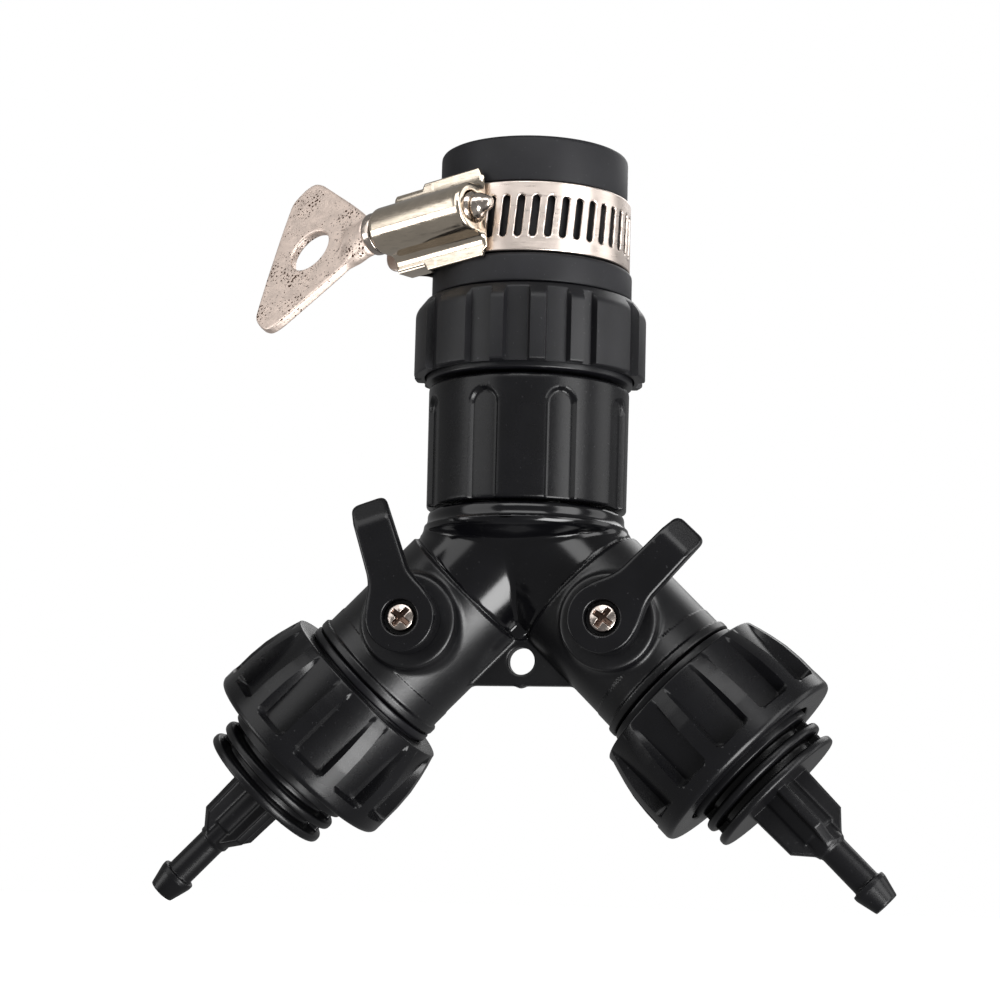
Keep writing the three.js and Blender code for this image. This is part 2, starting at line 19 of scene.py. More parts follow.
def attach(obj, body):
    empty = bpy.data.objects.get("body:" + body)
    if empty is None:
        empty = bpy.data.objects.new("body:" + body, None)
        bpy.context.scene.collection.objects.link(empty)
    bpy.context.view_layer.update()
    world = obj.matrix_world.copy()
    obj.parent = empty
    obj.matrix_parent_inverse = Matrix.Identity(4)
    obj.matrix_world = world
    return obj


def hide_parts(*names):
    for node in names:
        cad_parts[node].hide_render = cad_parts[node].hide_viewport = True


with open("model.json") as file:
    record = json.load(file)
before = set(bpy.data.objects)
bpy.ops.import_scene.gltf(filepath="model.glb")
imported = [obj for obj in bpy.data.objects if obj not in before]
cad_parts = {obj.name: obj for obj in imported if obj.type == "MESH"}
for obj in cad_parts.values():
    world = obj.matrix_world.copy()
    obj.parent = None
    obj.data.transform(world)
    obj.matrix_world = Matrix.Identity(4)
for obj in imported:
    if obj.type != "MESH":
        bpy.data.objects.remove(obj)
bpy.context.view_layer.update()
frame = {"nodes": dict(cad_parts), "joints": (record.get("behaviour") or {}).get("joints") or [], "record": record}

# ---- dimensions, in millimetres

MM = 0.001
H = math.sqrt(0.5)  # the branches leave the inlet axis at 45 degrees
SIDES = {"left": -1, "right": 1}

JOINTS = {joint["name"]: joint for joint in frame["joints"]}


def joint_place(name):
    return Vector(JOINTS[name]["pos_m"]) / MM


BRANCH_Z = joint_place("y_body_swivel").z
PIVOT = joint_place("right_lever_turn")

PITCH = 1.814
THREAD_R = 13.2
THREAD_DEPTH = 1.0
NUT_BORE_R = 13.5

SLEEVE = {"lip": 17.2, "groove": 16.5, "skirt": 18.3, "bore": 10.0, "socket": 12.9, "groove_top": -8.4,
          "groove_bottom": -21.7, "step": -14.2, "bottom": -27.0}

RING = {"top": -27.3, "bottom": -41.6, "top_r": 19.1, "rib_r": 21.09, "valley_r": 19.75, "shoulder": 2.6,
        "bore": 12.9, "skirt_r": 19.1, "skirt_top": -36.7, "flank": 0.9}
RING_RIBS = [(-41, -22), (-8.5, -2), (11, 18.5), (31, 38), (45, 69)]  # degrees, in each third

CONNECTOR = {"top": -14.5, "spigot_r": 12.6, "collar_r": 18.8, "collar_top": -37.0, "collar_bottom": -42.6,
             "thread_end": -57.0, "bore": 7.5}

SWIVEL = {"top": -43.3, "bottom": -65.6, "top_r": 18.25, "bottom_r": 18.1, "lip_top": -62.0, "lip_r": 12.0,
          "flutes": 8, "flute_width": 6.0, "flute_top": -45.6, "flute_depth": 0.85, "first_flute": -15.0}

BODY = {"spigot_top": -59.6, "flange_bottom": -61.7, "spigot_r": 11.7, "rim_top": -66.1, "rim_r": 17.8,
        "rim_bottom": -69.6, "bowl": 5.2, "core_r": 12.8, "seam_s": 14.65, "seam_r": 0.42,
        "seam_floor_r": 12.3, "seam_floor": (5, 20), "tube_r": 13.2, "ledge_start": 33.3, "ledge": 0.12,
        "collar_r": 13.9, "collar_start": 36.7, "end": 38.3, "chamber_r": 10.7, "chamber_start": 15.6,
        "port_r": 6.2, "waterway_r": 7.5, "boss_r": 8.6, "boss_face": 15.2, "pocket_r": 5.9,
        "pocket_back": 5, "pocket_face": 13.8, "stem_bore_r": 4.4}
TAB = {"half": 12.0, "bottom": -97.2, "top": -81.5, "thickness": 3.0, "hole_z": -92.8, "hole_r": 2.45,
       "gate_z": -87.4, "gate_r": 1.7, "gate_face": 4.3, "nub_x": -0.3, "nub_rise": 0.55, "nub_r": 0.9}

LEVER = {"back": 15.5, "arm_back": 18.1, "front": 21.0, "hub_r": 6.1, "length": 21.8, "facet": 4.0,
         "root_half": 3.8, "tip_half": 3.3, "counterbore_r": 3.15, "floor_front": 19.1, "floor_back": 18.3,
         "socket_half": 2.8, "pilot_r": 1.6, "lean": {"left": -18.5, "right": 43.5}}
SCREW = {"head_r": 2.45, "shank_r": 1.3, "head_back": 19.4, "head_front": 20.7, "tip": 12.8,
         "arm_reach": 1.95, "arm_half": 0.52, "recess": 1.0, "turn": {"left": -31.5, "right": -7.5}}

TAIL = {"plug_start": 34.8, "plug_r": 10.4, "flange_start": 38.6, "flange_r": 13.9, "thread_start": 40.1,
        "end": 51.0, "bore": 6.3}
NUT = {"start": 40.4, "end": 58.3, "lip_start": 55.5, "lip_r": 9.6, "recess_start": 56.6, "recess_r": 13.9,
       "end_r": 19.0, "pockets": 12, "pocket_half": 3.45, "pocket_end": 55.2, "floor_r": 17.25,
       "crown_r": 18.5, "corner": 1.3, "turn": {"left": -4.5, "right": 8.2}}
NUT_CROWN = ((40.4, 17.2), (42.5, 17.85), (45, 18.5), (48, 19.1), (51.5, 19.4), (57.6, 19.45))

ADAPTER = {"flange": (52.7, 53.7), "flange_r": 12.8, "neck_r": 9.3, "core_r": 9.8, "web_r": 12.0,
           "web_half": 0.8, "hub": (57.2, 59.3, 13.0), "discs": ((61.6, 13.1), (64.8, 13.2)),
           "disc_half": 0.8, "stem_r": 3.4, "corner": 74.6, "tube_r": 2.6, "tube_start": 78.6,
           "barb": 87.3, "barb_r": 3.36, "tip": 92.0, "tip_r": 2.4, "bore": 1.3, "cup_r": 6.3,
           "cup_end": 57.3, "fin_root": 6.4, "fin_tip": 6.1, "fin_half": 0.95,
           "turn": {"left": -38.5, "right": -12.0}, "play": {"left": 1.5, "right": 0.0},
           "web_turn": {"left": -51.0, "right": 12.0}}

# the clamp is drawn in a frame of its own, with x along its screw and the housing on its -y side
CLAMP = {"z": -15.0, "turn": -27.0, "height": 12.7, "thickness": 0.6, "loop_r": 17.6, "bend_y": -7.5,
         "corner_r": 3.5, "end_corner": 3.0, "layer_step": 0.95, "tail_x": -20.0, "inner_end_x": -6.0,
         "droop_x": -6.0, "droop": 4.8, "slots": 28, "first_slot": 12.9, "slot_pitch": 8.7,
         "slot_width": 1.3, "slot_length": 7.6, "slant": 5.5}
HOUSING = {"barrel_y": -22.2, "barrel_r": 4.4, "sheet": 0.7, "from_x": -17.2, "to_x": 4.1, "foot_y": -19.1,
           "end_wall": 0.9, "mouth_r": 2.9, "lip": 0.15, "lip_length": 1.6, "foot_from": -10.0,
           "foot_to": 3.2, "foot_half": 8.2, "leg_half": 6.9, "open_y": -18.3, "top_y": -15.2,
           "channel_half": 2.6}
# hooks under the band, arms up its edges and a saddle over it, as spans of x, y and distance from z = 0
HOUSING_BENDS = (((-16.6, -8), (-18.9, -17.2), (6.7, 7.4)), ((-16.6, -11), (-18, -15.2), (6.7, 7.4)),
                 ((-14, -11), (-15.9, -15.2), (-7.4, 7.4)))
WORM = {"r": 3.3, "end_r": 2.6, "end_x": (2.4, 2.9), "cone_x": 4.8, "tip_x": 8.1, "tip_r": 0.9,
        "tail_x": -17.5, "collar_r": 3.9, "collar_x": -19.4, "pitch": 2.6, "thread": 0.55}
WING = {"thickness": 1.8, "neck_x": -19.7, "neck_end": 3.4, "neck_half": 4.0, "waist": (-26.0, 8.0),
        "tip": (-39.2, 14.2), "tip_r": 3.0, "heel": (-43.8, 13.6), "outer_x": -44.1, "outer_half": 6.0,
        "hole_x": -34.7, "hole_r": 4.4, "turn": -24.0, "shank_end": -25.5, "shank_r": (1.6, 3.5),
        "half": 3.6, "weld": (-22.6, -3.2), "weld_size": (2.6, 2.2, 1.7)}

FACETS = 144
CELL = 1.0  # scales the cells of every carved piece

# ---- meshes

COLLECTION = bpy.context.scene.collection
BODY_OF = {node: body for body, nodes in frame["record"]["behaviour"]["bodies"].items() for node in nodes}
SLOT_OF = {row["node"]: row["material_slot"] for row in frame["record"]["subparts"]}


def rounded(outline, size=0.3, steps=4):
    """A closed outline with its corners rounded. A point may give its own size as a third number."""
    result = []
    for i, point in enumerate(outline):
        here = np.array(point[:2], float)
        ends = []
        for other in (outline[i - 1], outline[(i + 1) % len(outline)]):
            away = np.array(other[:2], float) - here
            reach = min(point[2] if len(point) > 2 else size, 0.45 * np.linalg.norm(away))
            ends.append(here + away / np.linalg.norm(away) * reach)
        for t in np.linspace(0, 1, steps + 1):
            result.append((1 - t) ** 2 * ends[0] + 2 * t * (1 - t) * here + t * t * ends[1])
    return np.array(result)


def refined(outline, step, low, high):
    """The outline with its edges between two heights split to no more than step."""
    result = []
    for here, after in zip(outline, np.roll(outline, -1, axis=0)):
        inside = max(here[1], after[1]) > low and min(here[1], after[1]) < high
        pieces = max(1, math.ceil(np.linalg.norm(after - here) / step)) if inside else 1
        result += [here + (after - here) * t / pieces for t in range(pieces)]
    return np.array(result)


def turned(outline, relief, fineness=1):
    """Points and faces of a closed (radius, height) outline spun about Z.

    relief(angle, height, radius) is added to the radius. fineness multiplies the facets."""
    outline = np.asarray(outline, float)
    after = np.roll(outline, -1, axis=0)
    if np.sum(outline[:, 0] * after[:, 1] - after[:, 0] * outline[:, 1]) < 0:
        outline = outline[::-1]
    angles = np.linspace(0, 2 * math.pi, fineness * FACETS, endpoint=False)
    angle, radius, height = angles[:, None], outline[None, :, 0], outline[None, :, 1]
    radius = radius + relief(angle, height, radius)
    points = np.stack(np.broadcast_arrays(radius * np.cos(angle), radius * np.sin(angle), height), -1)
    rows, columns = len(angles), len(outline)
    index = np.arange(rows * columns).reshape(rows, columns)
    across, along = np.roll(index, -1, axis=0), np.roll(index, -1, axis=1)
    faces = np.stack([index, across, np.roll(across, -1, axis=1), along], -1).reshape(-1, 4)
    return points.reshape(-1, 3), faces


CORNERS = list(itertools.product((0, 1), repeat=3))
EDGES = [(a, b) for a, b in itertools.combinations(range(8), 2)
         if sum(abs(p - q) for p, q in zip(CORNERS[a], CORNERS[b])) == 1]


def gradient(distance, points, reach=0.02):
    rises = [distance(*(points + step).T) - distance(*(points - step).T) for step in np.eye(3) * reach]
    return np.stack(rises, -1) / (2 * reach)


def settle(distance, points, limit):
    """Moves points onto the zero level, each step no longer than the limit."""
    for _ in range(3):
        slope = gradient(distance, points)
        steepness = np.maximum((slope * slope).sum(1), 0.05)
        step = slope * (distance(*points.T) / steepness)[:, None]
        length = np.maximum(np.linalg.norm(step, axis=1), 1e-9)
        points = points - step * np.minimum(1, limit / length)[:, None]
    return points


def carved(distance, low, high, cell):
    """Points and faces of the surface round the inside of a distance function, by surface nets."""
    cell = cell * CELL
    axes = [np.arange(a - 2.5 * cell, b + 3.5 * cell, cell) for a, b in zip(low, high)]
    field = distance(*np.meshgrid(*axes, indexing="ij", sparse=True))
    shape = np.array(field.shape) - 1
    inside = field < 0
    blocks = [tuple(slice(c, c + n) for c, n in zip(corner, shape)) for corner in CORNERS]
    count = sum(inside[block].astype(np.int8) for block in blocks)
    active = (count > 0) & (count < 8)
    cells = np.argwhere(active)
    values = [field[tuple((cells + corner).T)] for corner in CORNERS]
    total = np.zeros((len(cells), 3))
    crossings = np.zeros(len(cells))
    for a, b in EDGES:
        crossed = (values[a] < 0) != (values[b] < 0)
        share = np.where(crossed, values[a] / np.where(crossed, values[a] - values[b], 1), 0)[:, None]
        place = np.array(CORNERS[a]) + share * (np.array(CORNERS[b]) - np.array(CORNERS[a]))
        total += place * crossed[:, None]
        crossings += crossed
    origin = np.array([axis[0] for axis in axes])
    points = origin + (cells + total / crossings[:, None]) * cell
    index = np.full(active.shape, -1)
    index[active] = np.arange(len(cells))
    faces = []
    for d in range(3):
        e, f = (d + 1) % 3, (d + 2) % 3
        lower = [slice(1, -1)] * 3
        upper = list(lower)
        upper[d] = slice(2, None)
        changed = np.argwhere(inside[tuple(lower)] != inside[tuple(upper)]) + 1
        back_e, back_f = np.eye(3, dtype=int)[[e, f]]
        quad = [index[tuple((changed - o).T)] for o in (back_e + back_f, back_f, 0 * back_f, back_e)]
        quad = np.stack(quad, -1)
        outward = inside[tuple(changed.T)]
        faces.append(np.where(outward[:, None], quad, quad[:, ::-1]))
    return settle(distance, points, 0.6 * cell), np.concatenate(faces)


def make_piece(node, shape, place=None, normals=None, sharp=38, finish=None):
    """A finished piece that stands for a CAD node: it rides on the node's body and takes its slot.

    Its finish is the one its slot is named after, unless another is given."""
    points, faces = shape
    mesh = bpy.data.meshes.new(node + "_looks")
    mesh.from_pydata((np.asarray(points) * MM).tolist(), [], [tuple(int(i) for i in face) for face in faces])
    if normals is not None:
        slope = gradient(normals, np.asarray(points), 0.1) if callable(normals) else normals
        slope = slope / np.maximum(np.linalg.norm(slope, axis=1), 1e-9)[:, None]
        mesh.shade_smooth()
        mesh.normals_split_custom_set_from_vertices(slope.tolist())
    else:
        merge_close(mesh)
        mesh.shade_smooth()
        mesh.set_sharp_from_angle(angle=math.radians(sharp))
    piece = bpy.data.objects.new(node + "_looks", mesh)
    COLLECTION.objects.link(piece)
    if place is not None:
        shift = Matrix.Translation(place.to_translation() * MM)
        mesh.transform(shift @ place.to_3x3().to_4x4())
    mesh.materials.append(FINISHES[finish or SLOT_OF[node]])
    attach(piece, BODY_OF[node])
    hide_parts(node)
    return piece


def merge_close(mesh):
    work = bmesh.new()
    work.from_mesh(mesh)
    bmesh.ops.remove_doubles(work, verts=work.verts, dist=1e-6)
    work.to_mesh(mesh)
    work.free()


# ---- distance functions

def smooth_min(a, b, k):
    h = np.clip(0.5 + 0.5 * (b - a) / k, 0, 1)
    return b + (a - b) * h - k * h * (1 - h)


def smooth_max(a, b, k):
    return -smooth_min(-a, -b, k)


def eased(share):
    """0 up to 0, 1 from 1 on, and a smooth rise between."""
    share = np.clip(share, 0, 1)
    return share * share * (3 - 2 * share)


def union(*parts):
    return functools.reduce(np.minimum, parts)


def overlap(*parts):
    return functools.reduce(np.maximum, parts)


def between(value, low, high):
    return np.maximum(low - value, value - high)


def blunt_corner(across, along, radius):
    """A convex corner of that radius. Its sides lie where across and along equal the radius."""
    outside = polar(np.maximum(across, 0), np.maximum(along, 0))
    return outside + np.minimum(np.maximum(across, along), 0) - radius


def drum(r, s, radius, low, high, edge=0.0):
    """A cylinder, where r is the distance from its axis and s the place along it."""
    ends = between(s, low, high)
    return smooth_max(r - radius, ends, edge) if edge else np.maximum(r - radius, ends)


def segment(px, py, a, b):
    """Distance to a straight line from a to b in a plane."""
    ax, ay = a
    dx, dy = b[0] - ax, b[1] - ay
    t = np.clip(((px - ax) * dx + (py - ay) * dy) / (dx * dx + dy * dy), 0, 1)
    return np.hypot(px - ax - t * dx, py - ay - t * dy)


def polygon(px, py, outline):
    """Signed distance to a closed polygon."""
    nearest = np.inf
    inside = np.zeros(np.broadcast_shapes(np.shape(px), np.shape(py)), bool)
    for a, b in zip(outline, outline[1:] + outline[:1]):
        nearest = np.minimum(nearest, segment(px, py, a, b))
        if a[1] != b[1]:
            crosses = (a[1] > py) != (b[1] > py)
            inside = inside ^ (crosses & (px < (b[0] - a[0]) * (py - a[1]) / (b[1] - a[1]) + a[0]))
    return np.where(inside, -nearest, nearest)


def polar(x, y):
    return np.sqrt(x * x + y * y)


# ---- frames of the sub-assemblies

def turn(degrees, axis):
    return Matrix.Rotation(math.radians(degrees), 4, axis)


def branch_frame(side):
    """z runs out along the branch, and y is the whole object's."""
    return Matrix.Translation((0, 0, BRANCH_Z)) @ turn(side * 135, "Y")


def lever_frame(name):
    """Turned with the lever, which points up in it."""
    return Matrix.Translation((SIDES[name] * PIVOT.x, 0, PIVOT.z)) @ turn(LEVER["lean"][name], "Y")


def clamp_frame():
    return Matrix.Translation((0, 0, CLAMP["z"])) @ turn(CLAMP["turn"], "Z")


def drooping_frame():
    """The end of the clamp that hangs down with its housing and key."""
    hinge = Matrix.Translation((CLAMP["droop_x"], 0, 0))
    return clamp_frame() @ hinge @ turn(-CLAMP["droop"], "Y") @ hinge.inverted()


def worm_frame():
    """x runs along the worm screw's axis."""
    return drooping_frame() @ Matrix.Translation((0, HOUSING["barrel_y"], 0))


# ---- inlet

def thread_relief(low, high):
    """A helical thread cut into the points at the thread's radius between two heights."""
    def relief(angle, height, radius):
        phase = (height / PITCH + angle / (2 * math.pi)) % 1
        cut = THREAD_DEPTH * np.clip(1.3 - np.abs(phase - 0.5) * 4, 0, 1)
        fade = np.clip((height - low) / 0.8, 0, 1) * np.clip((high - height) / 0.8, 0, 1)
        return -cut * fade * (np.abs(radius - THREAD_R) < 0.3)
    return relief


def rubber_sleeve():
    s = SLEEVE
    outline = rounded([(s["bore"], 0, 0.5), (s["lip"], 0, 0.9), (s["lip"], s["groove_top"]),
                       (s["groove"], s["groove_top"]), (s["groove"], s["groove_bottom"]),
                       (s["skirt"], s["groove_bottom"], 0.8), (s["skirt"], s["bottom"], 0.5),
                       (s["socket"], s["bottom"]), (s["socket"], s["step"]), (s["bore"], s["step"])])

    def out_of_round(angle, height, radius):
        """Rubber is never quite round."""
        return 0.04 * np.sin(3 * angle + 0.4) * (radius > s["socket"] + 1)

    make_piece("rubber_sleeve", turned(outline, out_of_round))


def grip_ring():
    r = RING
    outline = rounded([(r["bore"], r["top"]), (r["top_r"], r["top"], 0.5),
                       (r["rib_r"], r["top"] - r["shoulder"], 0.8), (r["rib_r"], r["bottom"], 0.5),
                       (r["skirt_r"], r["bottom"], 0.2), (r["skirt_r"], r["skirt_top"]),
                       (r["bore"], r["skirt_top"])])
    outline = refined(outline, 0.25, r["top"] - r["shoulder"] - 0.6, r["top"] + 0.1)

    def ribs(angle, height, radius):
        place = (np.degrees(angle) + 90) % 120
        place = np.where(place > 75, place - 120, place)
        rise = 0
        for start, end in RING_RIBS:
            flanks = np.clip((place - start) / r["flank"] + 1, 0, 1)
            rise = rise + flanks * np.clip((end - place) / r["flank"] + 1, 0, 1)
        limit = r["valley_r"] + (r["rib_r"] - r["valley_r"]) * eased(rise)
        return np.minimum(0, limit - radius)

    make_piece("grip_ring", turned(outline, ribs, 5), sharp=30)


def tap_connector():
    c = CONNECTOR
    end = c["thread_end"]
    outline = rounded([(c["bore"], c["top"]), (c["spigot_r"], c["top"], 0.8),
                       (c["spigot_r"], c["collar_top"]), (c["collar_r"], c["collar_top"]),
                       (c["collar_r"], c["collar_bottom"], 0.35), (THREAD_R, c["collar_bottom"], 0.1),
                       (THREAD_R, end, 0.7), (c["bore"], end)])
    outline = refined(outline, 0.2, end, c["collar_bottom"])
    relief = thread_relief(end + 0.4, c["collar_bottom"] - 0.6)
    make_piece("tap_connector", turned(outline, relief))


def swivel_nut():
    n = SWIVEL
    outline = rounded([(NUT_BORE_R, n["top"]), (n["top_r"], n["top"], 0.9), (n["bottom_r"], n["bottom"], 0.5),
                       (n["lip_r"], n["bottom"]), (n["lip_r"], n["lip_top"]), (NUT_BORE_R, n["lip_top"])])
    outline = refined(outline, 0.3, n["bottom"], n["top"])
    half = n["flute_width"] / 2
    pitch = 2 * math.pi / n["flutes"]

    def flutes(angle, height, radius):
        off = (angle + math.pi / 2 - math.radians(n["first_flute"]) + pitch / 2) % pitch - pitch / 2
        across = off * n["top_r"]
        above = np.maximum(height - (n["flute_top"] - half), 0)
        depth = eased((half - polar(across, above)) / 0.75)
        return -n["flute_depth"] * depth * (radius > n["lip_r"] + 4)

    make_piece("swivel_nut", turned(outline, flutes, 3))


# ---- Y body

def y_body_distance(x, y, z):
    b = BODY
    inlet_r = polar(x, y)
    spigot = np.minimum(drum(inlet_r, z, b["spigot_r"], b["rim_bottom"], b["spigot_top"]),
                        drum(inlet_r, z, THREAD_R, b["flange_bottom"], b["spigot_top"], 0.3))
    rim = drum(inlet_r, z, b["rim_r"], b["rim_bottom"], b["rim_top"], 1.3)
    bowl = (polar(inlet_r / b["rim_r"], (z - b["rim_bottom"] - 0.8) / b["bowl"]) - 1) * b["bowl"]
    bowl = np.maximum(bowl, z - b["rim_bottom"] - 0.5)
    cores, tubes, hollows = 1e3, 1e3, drum(inlet_r, z, b["waterway_r"], BRANCH_Z, b["spigot_top"] + 1)
    for side in SIDES.values():
        s = (side * x - z + BRANCH_Z) * H
        r = polar((side * x + z - BRANCH_Z) * H, y)
        seam = b["seam_r"] - polar(r - b["tube_r"] + 0.1, s - b["seam_s"])
        core = smooth_max(drum(r, s, b["core_r"], 0, b["seam_s"], 0.3), seam, 0.35)
        cores = smooth_min(cores, core, 0.7)
        tube = smooth_max(drum(r, s, b["tube_r"], b["seam_s"], b["end"], 0.3), seam, 0.35)
        tube = union(tube, drum(r, s, b["seam_floor_r"], *b["seam_floor"]),
                     drum(r, s, b["tube_r"] + b["ledge"], b["ledge_start"], b["end"], 0.2))
        collar = smooth_min(tube, drum(r, s, b["collar_r"], b["collar_start"], b["end"], 0.4), 0.4)
        pivot_r = polar(x - side * PIVOT.x, z - PIVOT.z)
        boss = drum(pivot_r, -y, b["boss_r"], 0, b["boss_face"], 0.9)
        tubes = np.minimum(tubes, smooth_min(collar, boss, 1.2))
        hollows = union(hollows, drum(r, s, b["port_r"], 0, b["end"]),
                        drum(r, s, b["chamber_r"], b["chamber_start"], b["end"] + 2),
                        drum(pivot_r, -y, b["pocket_r"], b["pocket_back"], b["pocket_face"]),
                        drum(pivot_r, -y, b["stem_bore_r"], b["pocket_back"], b["boss_face"] + 2))
    branches = smooth_min(np.minimum(cores, tubes), tab_distance(x, y, z), 0.6)
    branches = np.maximum(branches, z - b["rim_top"] + 0.8)
    solid = np.minimum(spigot, smooth_min(smooth_min(rim, bowl, 1.5), branches, 0.8))
    return smooth_max(solid, -hollows, 0.25)


def tab_distance(x, y, z):
    t = TAB
    face = polygon(x, z, [(-t["half"], t["bottom"]), (t["half"], t["bottom"]), (0, t["top"])])
    nub = polar(x - t["nub_x"], z - t["bottom"] - t["nub_rise"]) - t["nub_r"]
    face = smooth_min(face, nub, 0.6)
    face = smooth_max(face, t["hole_r"] - polar(x, z - t["hole_z"]), 0.3)
    plate = smooth_max(face, np.abs(y) - t["thickness"] / 2, 0.4)
    gate = drum(polar(x, z - t["gate_z"]), np.abs(y), t["gate_r"], 0, t["gate_face"], 0.5)
    return smooth_min(plate, gate, 0.5)


def y_body():
    reach = (BODY["end"] + BODY["collar_r"]) * H
    low = (-reach, -BODY["rim_r"], BRANCH_Z - reach)
    high = (reach, BODY["rim_r"], BODY["spigot_top"])
    shape = carved(y_body_distance, low, high, 0.36)
    make_piece("y_body", shape, normals=y_body_distance)


# ---- valves

def lever_distance(x, y, z):
    v = LEVER
    depth = -y
    r = polar(x, z)
    hub = r - v["hub_r"]
    half = v["root_half"] + (v["tip_half"] - v["root_half"]) * np.clip(z / v["length"], 0, 1)
    arm = smooth_max(np.abs(x) - half, between(z, 0, v["length"]), 1.6)
    outline = smooth_min(hub, arm, 4.0)
    facet = 0.87 * (depth - v["front"]) + 0.5 * (z - v["length"] + v["facet"])
    head = smooth_max(smooth_max(outline, depth - v["front"], 0.9), facet, 0.5)
    upper = smooth_max(head, v["arm_back"] - depth, 0.5)
    lower = smooth_max(smooth_max(hub, between(depth, v["back"], v["front"]), 0.4), facet, 0.5)
    solid = np.minimum(upper, lower)
    counterbore = drum(r, depth, v["counterbore_r"], v["floor_front"], v["front"] + 2)
    pilot = drum(r, depth, v["pilot_r"], v["back"] - 1, v["front"])
    socket = np.maximum(np.maximum(np.abs(x), np.abs(z)) - v["socket_half"], depth - v["floor_back"])
    return smooth_max(solid, -union(counterbore, pilot, socket), 0.35)


def lever(name):
    v = LEVER
    low = (-v["hub_r"], -v["front"], -v["hub_r"])
    high = (v["hub_r"], -v["back"], v["length"])
    shape = carved(lever_distance, low, high, 0.26)
    make_piece(f"{name}_lever", shape, lever_frame(name), normals=lever_distance)


def screw_distance(x, y, z):
    c = SCREW
    depth = -y
    r = polar(x, z)
    dome = c["head_front"] - 0.1 * r * r
    head = smooth_max(drum(r, depth, c["head_r"], c["head_back"], c["head_front"]), depth - dome, 0.25)
    shank = drum(r, depth, c["shank_r"], c["tip"], c["head_back"] + 0.2)
    across = smooth_max(np.abs(x) - c["arm_reach"], np.abs(z) - c["arm_half"], 0.15)
    upright = smooth_max(np.abs(z) - c["arm_reach"], np.abs(x) - c["arm_half"], 0.15)
    cross = smooth_min(across, upright, 0.25)
    taper = 0.12 * (c["head_front"] - depth)
    floor = c["head_front"] - c["recess"] - 0.2 * (1.6 - r)
    recess = smooth_max(cross + taper, floor - depth, 0.1)
    return smooth_max(smooth_min(head, shank, 0.1), -recess, 0.12)


def lever_screw(name):
    c = SCREW
    low = (-c["head_r"], -c["head_front"], -c["head_r"])
    high = (c["head_r"], -c["tip"], c["head_r"])
    shape = carved(screw_distance, low, high, 0.11)
    place = lever_frame(name) @ turn(c["turn"][name], "Y")
    make_piece(f"{name}_lever_screw", shape, place, normals=screw_distance)


# ---- outlets

def outlet_tail(name):
    t = TAIL
    outline = rounded([(t["bore"], t["plug_start"]), (t["plug_r"], t["plug_start"]),
                       (t["plug_r"], t["flange_start"]), (t["flange_r"], t["flange_start"], 0.4),
                       (t["flange_r"], t["thread_start"], 0.4), (THREAD_R, t["thread_start"], 0.1),
                       (THREAD_R, t["end"], 0.7), (t["bore"], t["end"])])
    outline = refined(outline, 0.2, t["thread_start"], t["end"])
    relief = thread_relief(t["thread_start"] + 0.3, t["end"] - 0.4)
    make_piece(f"{name}_outlet_tail", turned(outline, relief), branch_frame(SIDES[name]))


def outlet_nut(name):
    n = NUT
    crown = [(r, s, 0.35) for s, r in NUT_CROWN]
    outline = rounded(crown + [(n["end_r"], n["end"], 0.4), (n["recess_r"], n["end"], 0.4),
                               (n["recess_r"], n["recess_start"]), (n["lip_r"], n["recess_start"]),
                               (n["lip_r"], n["lip_start"]), (NUT_BORE_R, n["lip_start"]),
                               (NUT_BORE_R, n["start"])])
    outline = refined(outline, 0.3, n["start"], n["end"])
    pitch = 2 * math.pi / n["pockets"]

    def pockets(angle, height, radius):
        off = angle % pitch - pitch / 2
        side = np.abs(off) * n["crown_r"] - n["pocket_half"] + n["corner"]
        end = height - n["pocket_end"] + n["corner"]
        return eased(-blunt_corner(side, end, n["corner"]) / 0.4) * np.minimum(0, n["floor_r"] - radius)

    place = branch_frame(SIDES[name]) @ turn(n["turn"][name], "Z")
    make_piece(f"{name}_outlet_nut", turned(outline, pockets, 3), place)


